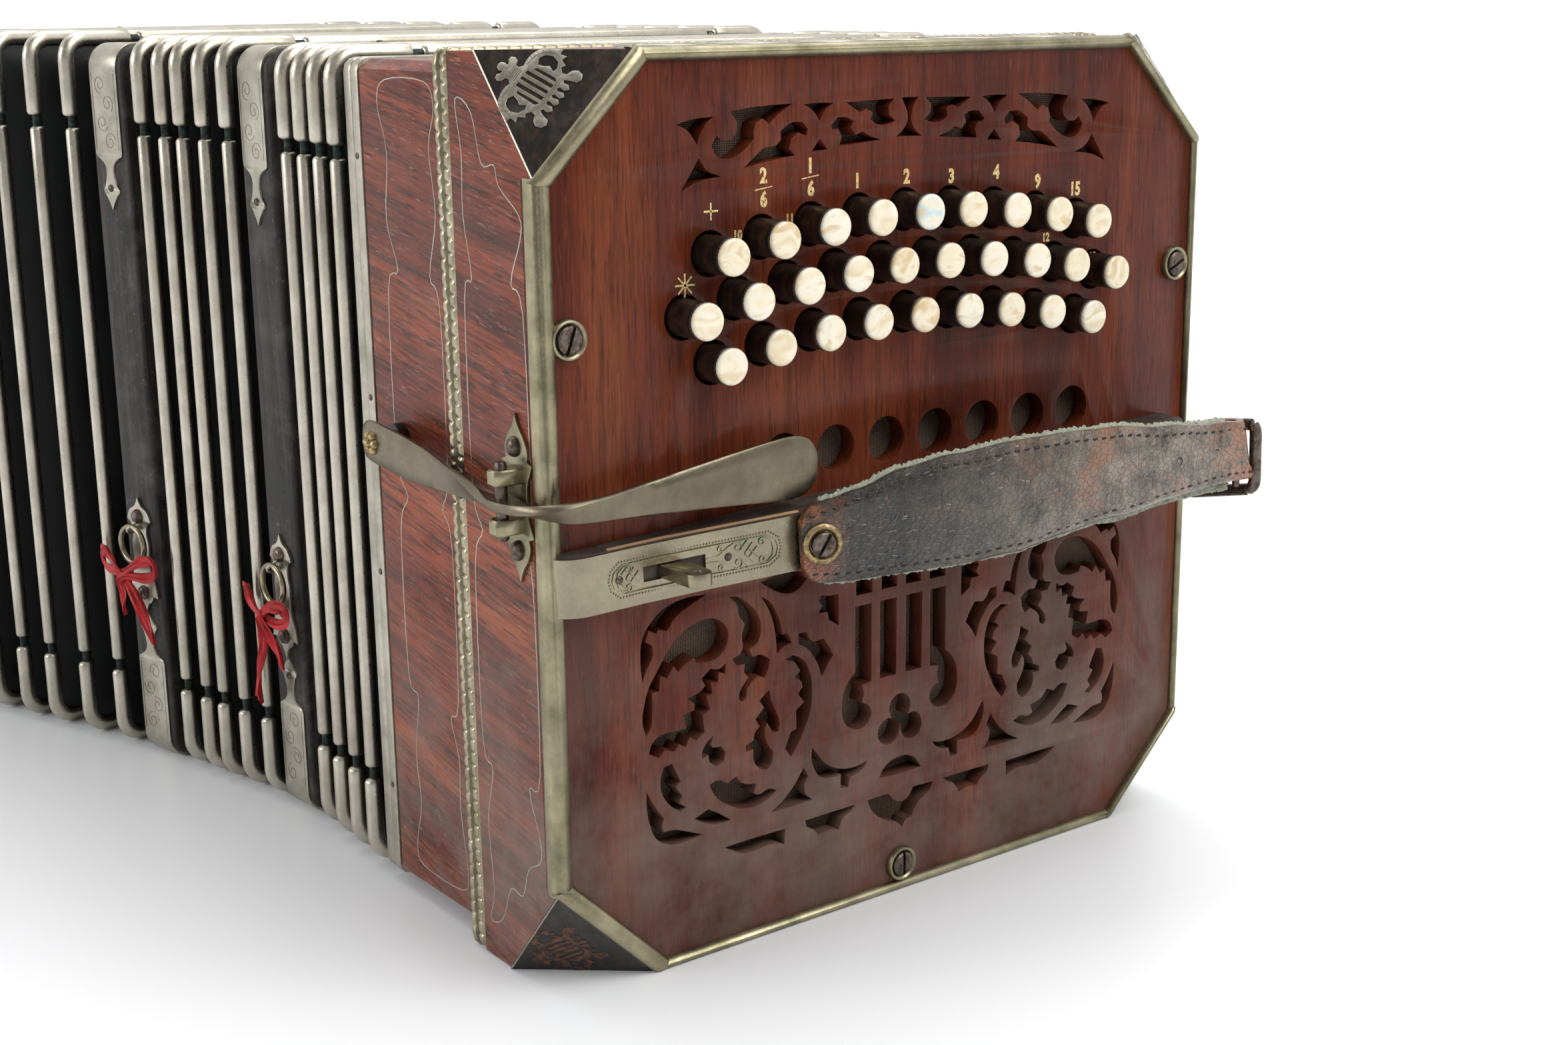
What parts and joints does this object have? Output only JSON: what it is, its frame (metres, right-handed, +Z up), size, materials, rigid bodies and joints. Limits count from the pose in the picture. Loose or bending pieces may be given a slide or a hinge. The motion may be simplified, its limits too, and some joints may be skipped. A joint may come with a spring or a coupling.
{
  "type": "concertina",
  "caption": "Large square concertina: fretted wooden ends with pearl-topped buttons, leather hand straps, a side air lever, and folded bellows in sections that fan open.",
  "frame": {"origin": "under the middle of the treble case's seam moulding, on the surface it stands on", "axes": "+X along the bellows out of the treble end's button face, +Y away from the air lever side, +Z up"},
  "size_m": [0.592, 0.3191, 0.2409],
  "materials": {
    "rosewood": "worn gloss lacquer, dark streaks",
    "nickel_silver": "tarnished, rubbed",
    "ebonised": "gloss, ebonised",
    "lining_cloth": "plain weave",
    "steel": "worn",
    "dark_wood": "worn",
    "strap_leather": "cracked, worn through at the ends",
    "spruce": "unfinished",
    "bellows_card": "folded card with leather edges and metal ridges",
    "black_wood": "black stain",
    "button": "dark stem with a pearl cap"
  },
  "bodies": {
    "treble_end": {"treble_face_board": "rosewood", "treble_lid_walls": "rosewood", "treble_reed_case": "rosewood", "treble_cloth_lining": "lining_cloth", "treble_edge_trim": "nickel_silver", "treble_corner_plates": "ebonised", "treble_nickel_bands": "nickel_silver", "treble_face_screws": "steel", "treble_hand_rail": "dark_wood", "treble_rail_fittings": "nickel_silver", "treble_hand_strap": "strap_leather", "treble_action": "spruce", "treble_reed_pan": "spruce", "air_lever_bracket": "nickel_silver", "bellows_treble_section": "bellows_card"},
    "bellows_frame_a": {"bellows_frame_a": "black_wood", "frame_a_fittings": "nickel_silver", "bellows_middle_section": "bellows_card"},
    "bellows_frame_b": {"bellows_frame_b": "black_wood", "frame_b_fittings": "nickel_silver", "bellows_bass_section": "bellows_card"},
    "bass_end": {"bass_case": "rosewood", "bass_metalwork": "nickel_silver", "bass_works": "spruce", "bass_hand_strap": "strap_leather"},
    "carry_ring_a": {"carry_ring_a": "nickel_silver"},
    "carry_ring_b": {"carry_ring_b": "nickel_silver"},
    "strap_adjuster": {"treble_strap_adjuster": "steel"},
    "air_lever": {"air_lever": "nickel_silver"},
    "treble_button_a01": {"treble_button_a01": "button"},
    "treble_button_a02": {"treble_button_a02": "button"},
    "treble_button_a03": {"treble_button_a03": "button"},
    "treble_button_a04": {"treble_button_a04": "button"},
    "treble_button_a05": {"treble_button_a05": "button"},
    "treble_button_a06": {"treble_button_a06": "button"},
    "treble_button_a07": {"treble_button_a07": "button"},
    "treble_button_a08": {"treble_button_a08": "button"},
    "treble_button_a09": {"treble_button_a09": "button"},
    "treble_button_b01": {"treble_button_b01": "button"},
    "treble_button_b02": {"treble_button_b02": "button"},
    "treble_button_b03": {"treble_button_b03": "button"},
    "treble_button_b04": {"treble_button_b04": "button"},
    "treble_button_b05": {"treble_button_b05": "button"},
    "treble_button_b06": {"treble_button_b06": "button"},
    "treble_button_b07": {"treble_button_b07": "button"},
    "treble_button_b08": {"treble_button_b08": "button"},
    "treble_button_b09": {"treble_button_b09": "button"},
    "treble_button_b10": {"treble_button_b10": "button"},
    "treble_button_c01": {"treble_button_c01": "button"},
    "treble_button_c02": {"treble_button_c02": "button"},
    "treble_button_c03": {"treble_button_c03": "button"},
    "treble_button_c04": {"treble_button_c04": "button"},
    "treble_button_c05": {"treble_button_c05": "button"},
    "treble_button_c06": {"treble_button_c06": "button"},
    "treble_button_c07": {"treble_button_c07": "button"},
    "treble_button_c08": {"treble_button_c08": "button"},
    "treble_button_c09": {"treble_button_c09": "button"},
    "bass_button_row_1": {"bass_button_row_1": "button"},
    "bass_button_row_2": {"bass_button_row_2": "button"},
    "bass_button_row_3": {"bass_button_row_3": "button"}
  },
  "joints": [
    {"name": "bellows_treble_fold", "type": "hinge", "parent": "treble_end", "child": "bellows_frame_a", "pos_m": [-0.13005, -0.47402, 0.12], "axis": [0, 0, 1], "range_deg": [-5, 6], "deforming": ["bellows_treble_section"]},
    {"name": "bellows_middle_fold", "type": "hinge", "parent": "bellows_frame_a", "child": "bellows_frame_b", "pos_m": [-0.11221, -0.30835, 0.12], "axis": [0, 0, 1], "range_deg": [-9, 10], "deforming": ["bellows_middle_section"]},
    {"name": "bellows_bass_fold", "type": "hinge", "parent": "bellows_frame_b", "child": "bass_end", "pos_m": [-0.13174, -0.47284, 0.12], "axis": [0, 0, 1], "range_deg": [-10, 5], "deforming": ["bellows_bass_section"]},
    {"name": "carry_ring_a_swing", "type": "hinge", "parent": "bellows_frame_a", "child": "carry_ring_a", "pos_m": [-0.12263, -0.11418, 0.082], "axis": [-0.9962, -0.0872, 0], "range_deg": [0, 80]},
    {"name": "carry_ring_b_swing", "type": "hinge", "parent": "bellows_frame_b", "child": "carry_ring_b", "pos_m": [-0.19848, -0.12957, 0.082], "axis": [-0.9703, -0.2419, 0], "range_deg": [0, 80]},
    {"name": "strap_adjuster_slide", "type": "slide", "parent": "treble_end", "child": "strap_adjuster", "axis": [0.1167, 0.9924, 0.0381], "range_m": [-0.004, 0.006]},
    {"name": "air_lever_press", "type": "hinge", "parent": "treble_end", "child": "air_lever", "pos_m": [0.031, -0.1203, 0.132], "axis": [0, 0, 1], "range_deg": [0, 4], "stiffness_Nm_per_rad": 2, "springref_deg": -2.86},
    {"name": "treble_button_a01_press", "type": "slide", "parent": "treble_end", "child": "treble_button_a01", "axis": [-1, 0, 0], "range_m": [0, 0.004], "stiffness_N_per_m": 150, "springref_m": -0.002},
    {"name": "treble_button_a02_press", "type": "slide", "parent": "treble_end", "child": "treble_button_a02", "axis": [-1, 0, 0], "range_m": [0, 0.004], "stiffness_N_per_m": 150, "springref_m": -0.002},
    {"name": "treble_button_a03_press", "type": "slide", "parent": "treble_end", "child": "treble_button_a03", "axis": [-1, 0, 0], "range_m": [0, 0.004], "stiffness_N_per_m": 150, "springref_m": -0.002},
    {"name": "treble_button_a04_press", "type": "slide", "parent": "treble_end", "child": "treble_button_a04", "axis": [-1, 0, 0], "range_m": [0, 0.004], "stiffness_N_per_m": 150, "springref_m": -0.002},
    {"name": "treble_button_a05_press", "type": "slide", "parent": "treble_end", "child": "treble_button_a05", "axis": [-1, 0, 0], "range_m": [0, 0.004], "stiffness_N_per_m": 150, "springref_m": -0.002},
    {"name": "treble_button_a06_press", "type": "slide", "parent": "treble_end", "child": "treble_button_a06", "axis": [-1, 0, 0], "range_m": [0, 0.004], "stiffness_N_per_m": 150, "springref_m": -0.002},
    {"name": "treble_button_a07_press", "type": "slide", "parent": "treble_end", "child": "treble_button_a07", "axis": [-1, 0, 0], "range_m": [0, 0.004], "stiffness_N_per_m": 150, "springref_m": -0.002},
    {"name": "treble_button_a08_press", "type": "slide", "parent": "treble_end", "child": "treble_button_a08", "axis": [-1, 0, 0], "range_m": [0, 0.004], "stiffness_N_per_m": 150, "springref_m": -0.002},
    {"name": "treble_button_a09_press", "type": "slide", "parent": "treble_end", "child": "treble_button_a09", "axis": [-1, 0, 0], "range_m": [0, 0.004], "stiffness_N_per_m": 150, "springref_m": -0.002},
    {"name": "treble_button_b01_press", "type": "slide", "parent": "treble_end", "child": "treble_button_b01", "axis": [-1, 0, 0], "range_m": [0, 0.004], "stiffness_N_per_m": 150, "springref_m": -0.002},
    {"name": "treble_button_b02_press", "type": "slide", "parent": "treble_end", "child": "treble_button_b02", "axis": [-1, 0, 0], "range_m": [0, 0.004], "stiffness_N_per_m": 150, "springref_m": -0.002},
    {"name": "treble_button_b03_press", "type": "slide", "parent": "treble_end", "child": "treble_button_b03", "axis": [-1, 0, 0], "range_m": [0, 0.004], "stiffness_N_per_m": 150, "springref_m": -0.002},
    {"name": "treble_button_b04_press", "type": "slide", "parent": "treble_end", "child": "treble_button_b04", "axis": [-1, 0, 0], "range_m": [0, 0.004], "stiffness_N_per_m": 150, "springref_m": -0.002},
    {"name": "treble_button_b05_press", "type": "slide", "parent": "treble_end", "child": "treble_button_b05", "axis": [-1, 0, 0], "range_m": [0, 0.004], "stiffness_N_per_m": 150, "springref_m": -0.002},
    {"name": "treble_button_b06_press", "type": "slide", "parent": "treble_end", "child": "treble_button_b06", "axis": [-1, 0, 0], "range_m": [0, 0.004], "stiffness_N_per_m": 150, "springref_m": -0.002},
    {"name": "treble_button_b07_press", "type": "slide", "parent": "treble_end", "child": "treble_button_b07", "axis": [-1, 0, 0], "range_m": [0, 0.004], "stiffness_N_per_m": 150, "springref_m": -0.002},
    {"name": "treble_button_b08_press", "type": "slide", "parent": "treble_end", "child": "treble_button_b08", "axis": [-1, 0, 0], "range_m": [0, 0.004], "stiffness_N_per_m": 150, "springref_m": -0.002},
    {"name": "treble_button_b09_press", "type": "slide", "parent": "treble_end", "child": "treble_button_b09", "axis": [-1, 0, 0], "range_m": [0, 0.004], "stiffness_N_per_m": 150, "springref_m": -0.002},
    {"name": "treble_button_b10_press", "type": "slide", "parent": "treble_end", "child": "treble_button_b10", "axis": [-1, 0, 0], "range_m": [0, 0.004], "stiffness_N_per_m": 150, "springref_m": -0.002},
    {"name": "treble_button_c01_press", "type": "slide", "parent": "treble_end", "child": "treble_button_c01", "axis": [-1, 0, 0], "range_m": [0, 0.004], "stiffness_N_per_m": 150, "springref_m": -0.002},
    {"name": "treble_button_c02_press", "type": "slide", "parent": "treble_end", "child": "treble_button_c02", "axis": [-1, 0, 0], "range_m": [0, 0.004], "stiffness_N_per_m": 150, "springref_m": -0.002},
    {"name": "treble_button_c03_press", "type": "slide", "parent": "treble_end", "child": "treble_button_c03", "axis": [-1, 0, 0], "range_m": [0, 0.004], "stiffness_N_per_m": 150, "springref_m": -0.002},
    {"name": "treble_button_c04_press", "type": "slide", "parent": "treble_end", "child": "treble_button_c04", "axis": [-1, 0, 0], "range_m": [0, 0.004], "stiffness_N_per_m": 150, "springref_m": -0.002},
    {"name": "treble_button_c05_press", "type": "slide", "parent": "treble_end", "child": "treble_button_c05", "axis": [-1, 0, 0], "range_m": [0, 0.004], "stiffness_N_per_m": 150, "springref_m": -0.002},
    {"name": "treble_button_c06_press", "type": "slide", "parent": "treble_end", "child": "treble_button_c06", "axis": [-1, 0, 0], "range_m": [0, 0.004], "stiffness_N_per_m": 150, "springref_m": -0.002},
    {"name": "treble_button_c07_press", "type": "slide", "parent": "treble_end", "child": "treble_button_c07", "axis": [-1, 0, 0], "range_m": [0, 0.004], "stiffness_N_per_m": 150, "springref_m": -0.002},
    {"name": "treble_button_c08_press", "type": "slide", "parent": "treble_end", "child": "treble_button_c08", "axis": [-1, 0, 0], "range_m": [0, 0.004], "stiffness_N_per_m": 150, "springref_m": -0.002},
    {"name": "treble_button_c09_press", "type": "slide", "parent": "treble_end", "child": "treble_button_c09", "axis": [-1, 0, 0], "range_m": [0, 0.004], "stiffness_N_per_m": 150, "springref_m": -0.002},
    {"name": "bass_button_row_1_press", "type": "slide", "parent": "bass_end", "child": "bass_button_row_1", "axis": [0.9135, 0.4067, 0], "range_m": [0, 0.004], "stiffness_N_per_m": 1200, "springref_m": -0.002},
    {"name": "bass_button_row_2_press", "type": "slide", "parent": "bass_end", "child": "bass_button_row_2", "axis": [0.9135, 0.4067, 0], "range_m": [0, 0.004], "stiffness_N_per_m": 1200, "springref_m": -0.002},
    {"name": "bass_button_row_3_press", "type": "slide", "parent": "bass_end", "child": "bass_button_row_3", "axis": [0.9135, 0.4067, 0], "range_m": [0, 0.004], "stiffness_N_per_m": 1200, "springref_m": -0.002}
  ]
}
